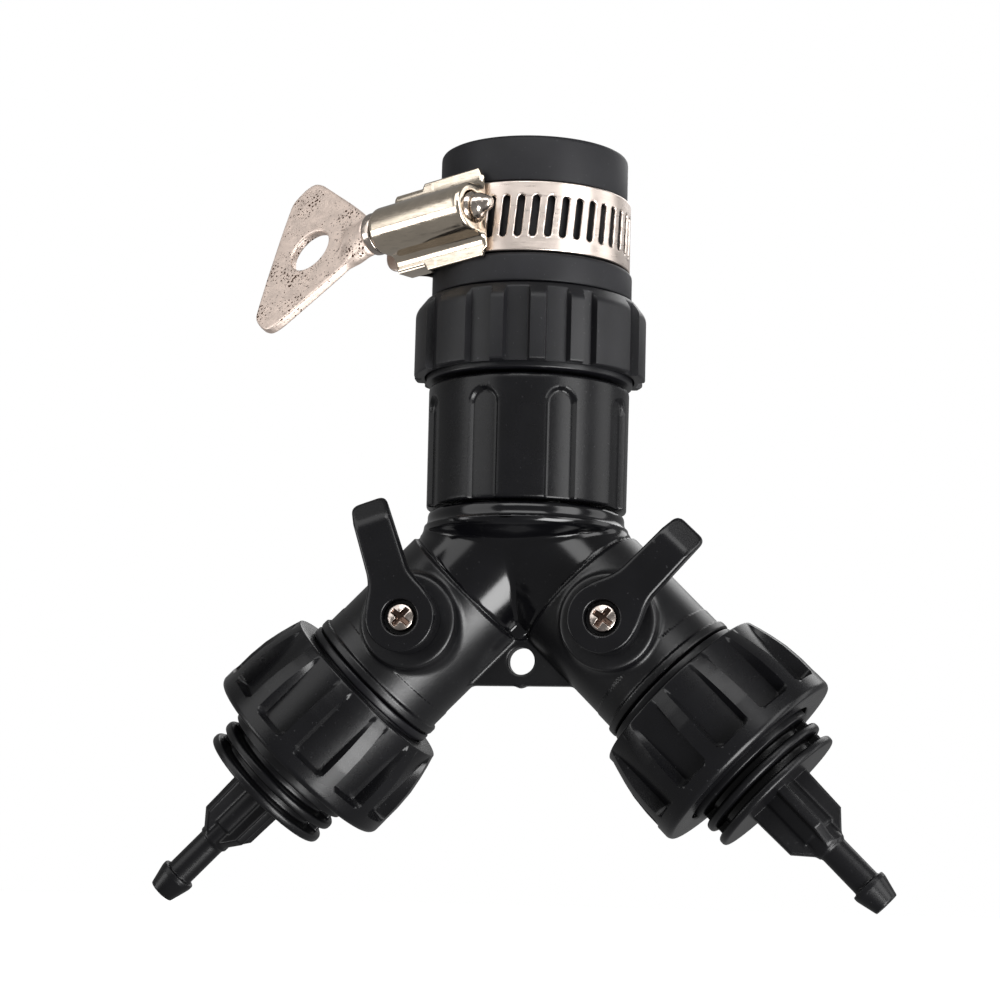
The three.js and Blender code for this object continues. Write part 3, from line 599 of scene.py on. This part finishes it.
def adapter_distance(web_turn):
    a = ADAPTER
    low_hub, high_hub, hub_r = a["hub"]
    last_disc = a["discs"][-1][0]

    def distance(x, y, z):
        r = polar(x, y)
        flange = drum(r, z, a["flange_r"], *a["flange"], 0.2)
        neck = drum(r, z, a["neck_r"], a["flange"][0] + 0.1, low_hub + 0.5)
        hub = drum(r, z, hub_r, low_hub, high_hub, 0.35)
        core = drum(r, z, a["core_r"], low_hub, last_disc, 0.3)
        solid = union(flange, neck, smooth_min(hub, core, 0.4))
        for middle, disc_r in a["discs"]:
            disc = smooth_max(r - disc_r, np.abs(z - middle) - a["disc_half"], 0.7)
            solid = smooth_min(solid, disc, 0.4)
        angle = math.radians(web_turn)
        web = np.abs(x * math.cos(angle) + y * math.sin(angle)) - a["web_half"]
        web = np.maximum(web, between(z, high_hub - 0.3, last_disc))
        solid = smooth_min(solid, smooth_max(web, r - a["web_r"], 0.5), 0.3)
        fins = np.minimum(np.abs(x), np.abs(y)) - a["fin_half"]
        reach = np.interp(z, [last_disc, a["corner"], a["tube_start"]],
                          [a["fin_root"], a["fin_tip"], a["tube_r"] - 0.2])
        fins = smooth_max(fins, r - reach, 0.35)
        fins = smooth_max(fins, between(z, last_disc, a["tube_start"] + 0.2), 0.35)
        stem = drum(r, z, a["stem_r"], last_disc, a["corner"] + 0.6, 0.4)
        stem = smooth_min(stem, drum(r, z, a["tube_r"] + 0.35, a["corner"], a["tube_start"], 0.3), 0.3)
        tube = drum(r, z, a["tube_r"], a["corner"], a["barb"] + 0.4)
        cone = np.interp(z, [a["barb"], a["barb"] + 0.9, a["tip"]], [a["barb_r"], a["barb_r"], a["tip_r"]])
        barb = smooth_max(r - cone, between(z, a["barb"], a["tip"]), 0.2)
        outer = smooth_min(np.minimum(tube, barb), stem, 0.5)
        solid = np.minimum(solid, smooth_min(outer, fins, 0.45))
        cup = drum(r, z, a["cup_r"], a["flange"][0] - 2, a["cup_end"])
        bore = drum(r, z, a["bore"], a["flange"][0] - 2, a["tip"] + 2)
        return smooth_max(solid, -np.minimum(cup, bore), 0.2)

    return distance


def barb_adapter(name):
    a = ADAPTER
    distance = adapter_distance(a["web_turn"][name])
    wide = a["discs"][-1][1]
    shape = carved(distance, (-wide, -wide, a["flange"][0]), (wide, wide, a["tip"]), 0.3)
    side = SIDES[name]
    hang = Matrix.Translation((0, 0, a["play"][name]))
    place = branch_frame(side) @ hang @ turn(side * a["turn"][name] - 90, "Z")
    make_piece(f"{name}_barb_adapter", shape, place, normals=distance)


# ---- clamp

def band_line():
    """The band's middle line in the clamp's frame, as dense points with their lengths and headings."""
    c = CLAMP
    r, bend_r = c["loop_r"], c["corner_r"]
    inner = -r + c["layer_step"]
    loop = np.radians(np.linspace(-90, 180, 400))
    bend = np.radians(np.linspace(180, 270, 40))
    round_part = np.stack([r * np.cos(loop), r * np.sin(loop)], -1)
    bend_part = np.stack([bend_r - r + bend_r * np.cos(bend), inner + bend_r + bend_r * np.sin(bend)], -1)
    points = np.concatenate([[[c["tail_x"], -r]], round_part, [[-r, c["bend_y"]]], bend_part,
                             [[c["inner_end_x"], inner]]])
    steps = np.diff(points, axis=0)
    lengths = np.concatenate([[0], np.cumsum(np.linalg.norm(steps, axis=1))])
    headings = np.unwrap(np.arctan2(steps[:, 1], steps[:, 0]))
    return points, lengths, headings


def strip_distance(length):
    """The flat band: x along it, y its height and z through it."""
    c = CLAMP
    pitch = math.radians(c["slot_pitch"]) * c["loop_r"]
    first = -c["tail_x"] + math.radians(c["first_slot"]) * c["loop_r"]
    lean = math.radians(c["slant"])
    straight = c["slot_length"] / 2 - c["slot_width"] / 2

    def distance(x, y, z):
        edge = c["end_corner"]
        wide = np.abs(y) - c["height"] / 2 + edge
        long = np.maximum(-x, x - length) + edge
        outline = blunt_corner(wide, long, edge)
        number = np.clip(np.round((x - first) / pitch), 0, c["slots"] - 1)
        along = x - first - number * pitch
        slot = segment(along, y, (-straight * math.sin(lean), -straight * math.cos(lean)),
                       (straight * math.sin(lean), straight * math.cos(lean))) - c["slot_width"] / 2
        flat = smooth_max(outline, -slot, 0.15)
        return smooth_max(flat, np.abs(z) - c["thickness"] / 2, 0.2)

    return distance


def clamp_band():
    c = CLAMP
    line, lengths, headings = band_line()
    distance = strip_distance(lengths[-1])
    half = c["height"] / 2
    through = c["thickness"] / 2
    flat, faces = carved(distance, (0, -half, -through), (lengths[-1], half, through), 0.27)
    slope = gradient(distance, flat)
    middle = (lengths[:-1] + lengths[1:]) / 2
    heading = np.interp(flat[:, 0], middle, headings)
    ahead = np.stack([np.cos(heading), np.sin(heading), 0 * heading], -1)
    out = np.stack([ahead[:, 1], -ahead[:, 0], 0 * heading], -1)
    centre = np.stack([np.interp(flat[:, 0], lengths, line[:, i]) for i in range(2)], -1)
    points = np.column_stack([centre, flat[:, 1]]) + out * flat[:, 2:]
    near = eased(points[:, 1] / c["bend_y"] - 1)
    reach = np.minimum(0, points[:, 0] - c["droop_x"])
    points[:, 2] += math.tan(math.radians(c["droop"])) * reach * near
    normals = ahead * slope[:, :1] + out * slope[:, 2:] + np.array([0, 0, 1]) * slope[:, 1:2]
    make_piece("clamp_band", (points, faces), clamp_frame(), normals=normals)


def housing_distance(x, y, z):
    """Sheet bent over the worm: a barrel whose skirts flare out to flanges that hook round the band."""
    h = HOUSING
    lip = h["lip"] * np.clip((x - h["to_x"] + h["lip_length"]) / h["lip_length"], 0, 1) ** 2
    barrel = polar(y - h["barrel_y"], z) - h["barrel_r"]
    foot = eased(np.minimum(x - h["foot_from"], h["foot_to"] - x) / 0.8 + 0.5)
    half = h["leg_half"] + (h["foot_half"] - h["leg_half"]) * foot
    skirt = smooth_max(h["foot_y"] - y, np.abs(z) - half, 0.3)
    outer = smooth_min(barrel - lip, skirt, 3.4)
    outer = smooth_max(outer, y - h["open_y"], 0.15)
    channel = np.maximum(h["foot_y"] + h["sheet"] - y, np.abs(z) - h["channel_half"])
    inner = smooth_min(barrel + h["sheet"] - lip, channel, 1.0)
    inner = np.maximum(inner, x - h["to_x"] + h["end_wall"])
    mouth = drum(polar(y - h["barrel_y"], z), x, h["mouth_r"], h["to_x"] - 4, h["to_x"] + 2)
    sheet = smooth_max(outer, between(x, h["from_x"], h["to_x"]), 0.9)
    sheet = smooth_max(sheet, -np.minimum(inner, mouth), 0.25)
    bends = [overlap(*(between(place, *span) for place, span in zip((x, y, np.abs(z)), spans)))
             for spans in HOUSING_BENDS]
    return smooth_min(sheet, union(*bends), 0.4)


def clamp_housing():
    h = HOUSING
    low = (h["from_x"], h["barrel_y"] - h["barrel_r"] - 0.5, -h["foot_half"])
    high = (h["to_x"], h["top_y"], h["foot_half"])
    shape = carved(housing_distance, low, high, 0.24)
    make_piece("clamp_housing", shape, drooping_frame(), normals=housing_distance)


def worm_screw():
    w = WORM
    shoulder, end = w["end_x"]
    outline = rounded([(0, w["collar_x"], 0), (w["collar_r"], w["collar_x"], 0.5),
                       (w["collar_r"], w["tail_x"], 0.3), (w["r"], w["tail_x"]), (w["r"], shoulder, 0.4),
                       (w["end_r"], end, 0.3), (w["end_r"], w["cone_x"], 0.4), (w["tip_r"], w["tip_x"], 0.5),
                       (0, w["tip_x"], 0)])
    outline = refined(outline, 0.15, w["tail_x"], w["tip_x"])

    def thread(angle, height, radius):
        phase = (height / w["pitch"] + angle / (2 * math.pi)) % 1
        cut = w["thread"] * np.clip(1.25 - np.abs(phase - 0.5) * 4, 0, 1)
        start = np.clip((height - w["tail_x"] - 0.5) / 0.8, 0, 1)
        fade = start * np.clip((w["tip_x"] - 0.8 - height) / 2.5, 0, 1)
        return -cut * fade * (radius > 1)

    make_piece("worm_screw", turned(outline, thread), worm_frame() @ turn(90, "Y"), finish="worm_steel")


def key_distance(outline):
    w = WING

    def distance(x, y, z):
        face = polygon(x, y, outline)
        face = smooth_max(face, w["hole_r"] - polar(x - w["hole_x"], y), 0.35)
        plate = smooth_max(face, np.abs(z) - w["thickness"] / 2, 0.5)
        radius = np.interp(x, [w["shank_end"], w["neck_x"]], w["shank_r"])
        shank = smooth_max(polar(y, z) - radius, between(x, w["shank_end"], w["neck_x"]), 0.4)
        length, width, height = w["weld_size"]
        weld = polar(polar((x - w["weld"][0]) / length, (y - w["weld"][1]) / width), z / height) - 1
        return smooth_min(smooth_min(plate, shank, 1.8), weld * height, 1.2)

    return distance


def wing_key():
    w = WING
    x, y = w["tip"]
    tip = [(x + w["tip_r"] * math.cos(a), y + w["tip_r"] * math.sin(a), 1.2)
           for a in np.radians([45, 90, 135])]
    half = [(w["neck_x"], w["neck_end"], 0.4), (w["neck_x"] - 1.6, w["neck_half"], 1.5), (*w["waist"], 3.0),
            *tip, (*w["heel"], 1.2), (w["outer_x"], w["outer_half"], 3.0)]
    other = [(px, -py, *rest) for px, py, *rest in reversed(half)]
    outline = [tuple(point) for point in rounded(half + other, steps=3)]
    distance = key_distance(outline)
    wide = y + w["tip_r"]
    shape = carved(distance, (w["outer_x"], -wide, -w["half"]), (w["neck_x"], wide, w["half"]), 0.28)
    place = worm_frame() @ turn(90 + w["turn"], "X")
    make_piece("wing_key", shape, place, normals=distance)


# ---- materials

class Surface:
    """A node material. Textures are laid out in millimetres, in the frame's axes."""

    def __init__(self, name, metallic=0.0, specular=0.5):
        self.material = bpy.data.materials.new(name)
        self.material.use_nodes = True
        self.nodes = self.material.node_tree.nodes
        self.links = self.material.node_tree.links
        self.shader = self.nodes["Principled BSDF"]
        self.shader.inputs["Metallic"].default_value = metallic
        self.shader.inputs["Specular IOR Level"].default_value = specular
        self.place = self.nodes.new("ShaderNodeTexCoord").outputs["Object"]

    def stretched(self, factors):
        node = self.nodes.new("ShaderNodeVectorMath")
        node.operation = "MULTIPLY"
        self.links.new(self.place, node.inputs[0])
        node.inputs[1].default_value = factors
        return node.outputs[0]

    def noise(self, size, detail=3.0, factors=(1, 1, 1)):
        """Noise whose lumps are about size millimetres across."""
        node = self.nodes.new("ShaderNodeTexNoise")
        self.links.new(self.stretched(factors), node.inputs["Vector"])
        node.inputs["Scale"].default_value = 1 / (size * MM)
        node.inputs["Detail"].default_value = detail
        return node.outputs["Fac"]

    def cells(self, size):
        """Distance to scattered points about size millimetres apart."""
        node = self.nodes.new("ShaderNodeTexVoronoi")
        self.links.new(self.place, node.inputs["Vector"])
        node.inputs["Scale"].default_value = 1 / (size * MM)
        return node.outputs["Distance"]

    def ramp(self, value, low, high, start, end):
        """start where value is low, and end where it is high. Both are numbers or both are colours."""
        if isinstance(start, float):
            node = self.nodes.new("ShaderNodeMapRange")
            self.links.new(value, node.inputs["Value"])
            for socket, number in zip(("From Min", "From Max", "To Min", "To Max"), (low, high, start, end)):
                node.inputs[socket].default_value = number
            return node.outputs["Result"]
        node = self.nodes.new("ShaderNodeValToRGB")
        self.links.new(value, node.inputs["Fac"])
        for element, position, colour in zip(node.color_ramp.elements, (low, high), (start, end)):
            element.position = position
            element.color = (*colour, 1)
        return node.outputs["Color"]

    def mixed(self, share, a, b):
        """Colour a where share is 0 and colour b where it is 1."""
        node = self.nodes.new("ShaderNodeMix")
        node.data_type = "RGBA"
        self.links.new(share, node.inputs[0])
        for socket, value in ((node.inputs[6], a), (node.inputs[7], b)):
            if hasattr(value, "links"):
                self.links.new(value, socket)
            else:
                socket.default_value = (*value, 1)
        return node.outputs[2]

    def maths(self, operation, a, b):
        node = self.nodes.new("ShaderNodeMath")
        node.operation = operation
        for socket, value in zip(node.inputs, (a, b)):
            if hasattr(value, "links"):
                self.links.new(value, socket)
            else:
                socket.default_value = value
        return node.outputs[0]

    def cloudy(self, base, size, dark, pale):
        """The base colour, darker and paler in clouds of that size."""
        shade, light = [c * dark for c in base], [min(1, c * pale) for c in base]
        return self.ramp(self.noise(size), 0.3, 0.7, shade, light)

    def edges(self, low, high):
        """1 on sharp outer edges and 0 on flats, a mask for worn edges and for painted highlights along them."""
        return self.ramp(self.nodes.new("ShaderNodeNewGeometry").outputs["Pointiness"], low, high, 0.0, 1.0)

    def colour(self, value):
        self.links.new(value, self.shader.inputs["Base Color"])

    def roughness(self, value):
        self.links.new(value, self.shader.inputs["Roughness"])

    def bump(self, height, depth, strength=1.0):
        """height runs from 0 to 1, and depth is in millimetres."""
        node = self.nodes.new("ShaderNodeBump")
        node.inputs["Strength"].default_value = strength
        node.inputs["Distance"].default_value = depth * MM
        self.links.new(height, node.inputs["Height"])
        self.links.new(node.outputs["Normal"], self.shader.inputs["Normal"])


def moulded(name, base, roughness, grain, grain_depth, dust=0.3, worn_and_sheen=0.03, specular=0.5):
    """Moulded plastic or rubber: cloudy tone, grain, faint dust, and paler edges that are partly wear and partly a
    painted highlight.
    """
    surface = Surface(name, specular=specular)
    tone = surface.cloudy(base, 7.0, 0.8, 1.25)
    speck = surface.maths("MULTIPLY", surface.ramp(surface.noise(0.55, 1.0), 0.73, 0.78, 0.0, 1.0), dust)
    tone = surface.mixed(speck, tone, [c * 5 + 0.03 for c in base])
    patchy = surface.ramp(surface.noise(1.4), 0.45, 0.7, 0.0, 1.0)
    # paler outer edges: a little wear, and where the paling is strong, as on the grip ring, a painted highlight
    edge = surface.maths("MULTIPLY", surface.edges(0.57, 0.66), patchy)
    surface.colour(surface.mixed(edge, tone, [c + worn_and_sheen for c in base]))
    surface.roughness(surface.ramp(surface.noise(4.0, 4.0), 0.25, 0.75, roughness - 0.01, roughness + 0.015))
    surface.bump(surface.noise(grain, 2.0), grain_depth)
    return name, surface.material


def body_plastic(name, base):
    """Polished where the body is cast round the inlet, and satin with a fine grain along the branch tubes."""
    surface = Surface(name, specular=0.4)
    split = surface.nodes.new("ShaderNodeSeparateXYZ")
    surface.links.new(surface.place, split.inputs[0])
    sideways = surface.maths("ABSOLUTE", split.outputs["X"], 0.0)
    along = surface.maths("SUBTRACT", sideways, split.outputs["Z"])
    start = (BODY["seam_s"] / H - BRANCH_Z) * MM
    satin = surface.ramp(along, start - 0.0003, start + 0.0003, 0.0, 1.0)
    tone = surface.cloudy(base, 7.0, 0.8, 1.3)
    speck = surface.maths("MULTIPLY", surface.ramp(surface.noise(0.5, 1.0), 0.74, 0.78, 0.0, 1.0), 0.3)
    surface.colour(surface.mixed(speck, tone, (0.05, 0.05, 0.05)))
    polished = surface.ramp(surface.noise(4.0, 4.0), 0.3, 0.7, 0.13, 0.18)
    rough = surface.maths("MULTIPLY", satin, surface.ramp(surface.noise(0.3, 2.0), 0.3, 0.7, 0.16, 0.22))
    surface.roughness(surface.maths("ADD", polished, rough))
    surface.bump(surface.maths("MULTIPLY", surface.noise(0.2, 2.0), satin), 0.012)
    return name, surface.material


def rolled_steel(name, base, roughness, factors, streak):
    """Rolled or polished sheet with streaks along its length."""
    surface = Surface(name, metallic=1.0)
    lines = surface.noise(0.5, 4.0, factors)
    tone = surface.cloudy(base, 5.0, 0.9, 1.06)
    grime = surface.maths("MULTIPLY", surface.ramp(lines, 0.55, 0.75, 0.0, 1.0), streak * 0.5)
    surface.colour(surface.mixed(grime, tone, [c * 0.55 for c in base]))
    surface.roughness(surface.ramp(lines, 0.3, 0.7, roughness - 0.06, roughness + 0.08))
    surface.bump(lines, 0.006)
    return name, surface.material


def screw_steel(name, base):
    """Polished heads, with painted shade in dark brown down in the recess of each."""
    surface = Surface(name, metallic=1.0)
    split = surface.nodes.new("ShaderNodeSeparateXYZ")
    surface.links.new(surface.place, split.inputs[0])
    face = -SCREW["head_front"] * MM
    # painted shade: from half a millimetre behind the head's face inwards, the colour turns dark brown
    recess_shade = surface.ramp(split.outputs["Y"], face + 0.0005, face + 0.0009, 0.0, 1.0)
    tone = surface.cloudy(base, 1.2, 0.75, 1.1)
    surface.colour(surface.mixed(recess_shade, tone, (0.10, 0.065, 0.05)))
    surface.roughness(surface.ramp(surface.noise(0.6), 0.3, 0.7, 0.16, 0.26))
    surface.bump(surface.noise(0.5), 0.006)
    return name, surface.material


def pitted_steel(name, base):
    """Stamped steel plate, tumbled and pitted, with brown in the pits."""
    surface = Surface(name, metallic=1.0)
    spread = surface.noise(6.0, 2.0)
    reach = surface.ramp(spread, 0.35, 0.65, 0.06, 0.34)
    pit = surface.maths("LESS_THAN", surface.cells(0.75), reach)
    small = surface.maths("LESS_THAN", surface.cells(0.4), surface.ramp(spread, 0.35, 0.65, 0.05, 0.3))
    pits = surface.maths("MAXIMUM", pit, small)
    tone = surface.cloudy(base, 2.5, 0.88, 1.08)
    surface.colour(surface.mixed(pits, tone, (0.10, 0.055, 0.035)))
    surface.roughness(surface.maths("ADD", surface.ramp(surface.noise(1.2), 0.3, 0.7, 0.5, 0.6),
                                    surface.maths("MULTIPLY", pits, 0.3)))
    surface.bump(surface.maths("SUBTRACT", surface.noise(0.9, 3.0), pits), 0.05, 0.8)
    return name, surface.material


def make_materials():
    grey, black = (0.004, 0.004, 0.005), (0.003, 0.003, 0.0036)
    finishes = [
        moulded("sleeve_rubber", (0.007, 0.007, 0.0085), 0.5, 0.12, 0.012, dust=0.25, specular=0.25),
        moulded("seal_rubber", (0.006, 0.006, 0.006), 0.6, 0.15, 0.01, dust=0.2, specular=0.25),
        # strongly paler rib edges: a painted highlight, with some wear
        moulded("ring_plastic", (0.005, 0.005, 0.006), 0.4, 0.14, 0.02, dust=0.5, worn_and_sheen=0.2, specular=0.3),
        moulded("connector_plastic", grey, 0.32, 0.2, 0.01, specular=0.3),
        moulded("nut_plastic", black, 0.27, 0.22, 0.01, worn_and_sheen=0.0, specular=0.26),
        moulded("adapter_plastic", black, 0.32, 0.2, 0.008, worn_and_sheen=0.0, specular=0.26),
        body_plastic("body_plastic", (0.002, 0.002, 0.0026)),
        moulded("lever_plastic", black, 0.23, 0.25, 0.006, worn_and_sheen=0.04, specular=0.3),
        moulded("valve_plastic", (0.75, 0.74, 0.71), 0.25, 0.6, 0.004, dust=0.0, worn_and_sheen=0.0),
        moulded("seat_plastic", (0.8, 0.79, 0.76), 0.42, 0.4, 0.006, dust=0.0, worn_and_sheen=0.0),
        rolled_steel("band_steel", (0.71, 0.62, 0.56), 0.32, (0.08, 0.08, 1.6), 0.25),
        rolled_steel("housing_steel", (0.70, 0.61, 0.50), 0.14, (0.15, 0.5, 1.5), 0.7),
        pitted_steel("key_steel", (0.86, 0.73, 0.65)),
        screw_steel("screw_nickel", (0.48, 0.42, 0.38)),
        rolled_steel("worm_steel", (0.58, 0.51, 0.45), 0.2, (1, 1, 1), 0.8),
    ]
    return dict(finishes)


def dress_cad_nodes():
    """The CAD nodes that stay as they are get the same finishes as the rest."""
    for node, object in frame["nodes"].items():
        if not object.hide_render:
            object.data.materials.clear()
            object.data.materials.append(FINISHES[SLOT_OF[node]])


# ---- studio

CAMERA = {"azimuth": 12.0, "elevation": -8.6, "roll": 1.53, "target": (-4.91, 0, -63.4), "distance": 472.5,
          "lens": 93.6}
FLOOR_Z = -165.0
FLOOR_HALF = 6000.0
MIDDLE = Vector((0, 0, -70))  # where every lamp points


def seen_from(azimuth, elevation):
    """The direction from the object to whatever is at those angles, in degrees."""
    a, e = math.radians(azimuth), math.radians(elevation)
    return Vector((math.sin(a) * math.cos(e), -math.cos(a) * math.cos(e), math.sin(e)))


def make_camera():
    c = CAMERA
    back = seen_from(c["azimuth"], c["elevation"])
    across = seen_from(c["azimuth"] + 90, 0)
    up = back.cross(across)
    basis = Matrix((across, up, back)).transposed() @ Matrix.Rotation(math.radians(c["roll"]), 3, "Z")
    camera = bpy.data.objects.new("camera", bpy.data.cameras.new("camera"))
    COLLECTION.objects.link(camera)
    place = Vector(c["target"]) + back * c["distance"]
    camera.matrix_world = Matrix.Translation(place * MM) @ basis.to_4x4()
    camera.data.lens = c["lens"]
    camera.data.sensor_width = 36
    camera.data.clip_start = 0.01
    bpy.context.scene.camera = camera


def make_world(shown, lit):
    """White to look at, and softer as a light."""
    world = bpy.data.worlds.new("studio")
    bpy.context.scene.world = world
    world.use_nodes = True
    nodes, links = world.node_tree.nodes, world.node_tree.links
    seen = nodes.new("ShaderNodeLightPath").outputs["Is Camera Ray"]
    mix = nodes.new("ShaderNodeMixShader")
    links.new(seen, mix.inputs[0])
    for socket, strength in ((1, lit), (2, shown)):
        backdrop = nodes.new("ShaderNodeBackground")
        backdrop.inputs["Color"].default_value = (1, 1, 1, 1)
        backdrop.inputs["Strength"].default_value = strength
        links.new(backdrop.outputs[0], mix.inputs[socket])
    links.new(mix.outputs[0], nodes["World Output"].inputs["Surface"])


def make_softbox(name, azimuth, elevation, distance, size, power):
    """A rectangular lamp that faces the middle of the object."""
    away = seen_from(azimuth, elevation)
    lamp = bpy.data.lights.new(name, "AREA")
    lamp.shape = "RECTANGLE"
    lamp.size, lamp.size_y = size[0] * MM, size[1] * MM
    lamp.energy = power
    holder = bpy.data.objects.new(name, lamp)
    COLLECTION.objects.link(holder)
    place = MIDDLE + away * distance
    facing = away.to_track_quat("Z", "Y").to_matrix()
    holder.matrix_world = Matrix.Translation(place * MM) @ facing.to_4x4()


def make_lights():
    make_softbox("key_light", -48, 28, 600, (420, 520), 1.25)
    make_softbox("fill_light", 62, 12, 620, (300, 520), 2.2)
    make_softbox("front_light", 8, 42, 620, (500, 300), 1.9)
    make_softbox("left_light", -68, -8, 600, (260, 200), 0.7)
    make_softbox("right_light", 105, 5, 600, (260, 600), 0.9)
    make_softbox("low_light", 48, -32, 600, (360, 360), 6.0)
    make_softbox("rim_light", 165, 35, 600, (500, 300), 1.0)


def make_floor():
    """White ground, only to look at. It neither lights the object nor shades it."""
    mesh = bpy.data.meshes.new("floor")
    half = FLOOR_HALF * MM
    z = FLOOR_Z * MM
    corners = [(-half, -half, z), (half, -half, z), (half, half, z), (-half, half, z)]
    mesh.from_pydata(corners, [], [(0, 1, 2, 3)])
    surface = Surface("floor")
    surface.colour(surface.ramp(surface.noise(60.0), 0.3, 0.7, (0.93, 0.93, 0.93), (0.97, 0.97, 0.97)))
    surface.roughness(surface.ramp(surface.noise(30.0), 0.3, 0.7, 0.75, 0.85))
    surface.shader.inputs["Specular IOR Level"].default_value = 0.0
    surface.shader.inputs["Emission Color"].default_value = (1, 1, 1, 1)
    surface.shader.inputs["Emission Strength"].default_value = 0.95
    mesh.materials.append(surface.material)
    floor = bpy.data.objects.new("floor", mesh)
    floor.visible_diffuse = floor.visible_glossy = floor.visible_shadow = False
    COLLECTION.objects.link(floor)


# ---- the scene

make_camera()
make_world(shown=1.0, lit=0.25)
make_lights()
make_floor()
FINISHES = make_materials()

rubber_sleeve()
grip_ring()
tap_connector()
swivel_nut()
y_body()
for name in SIDES:
    lever(name)
    lever_screw(name)
    outlet_tail(name)
    outlet_nut(name)
    barb_adapter(name)
clamp_band()
clamp_housing()
worm_screw()
wing_key()
dress_cad_nodes()

bpy.context.scene.view_settings.view_transform = "Standard"
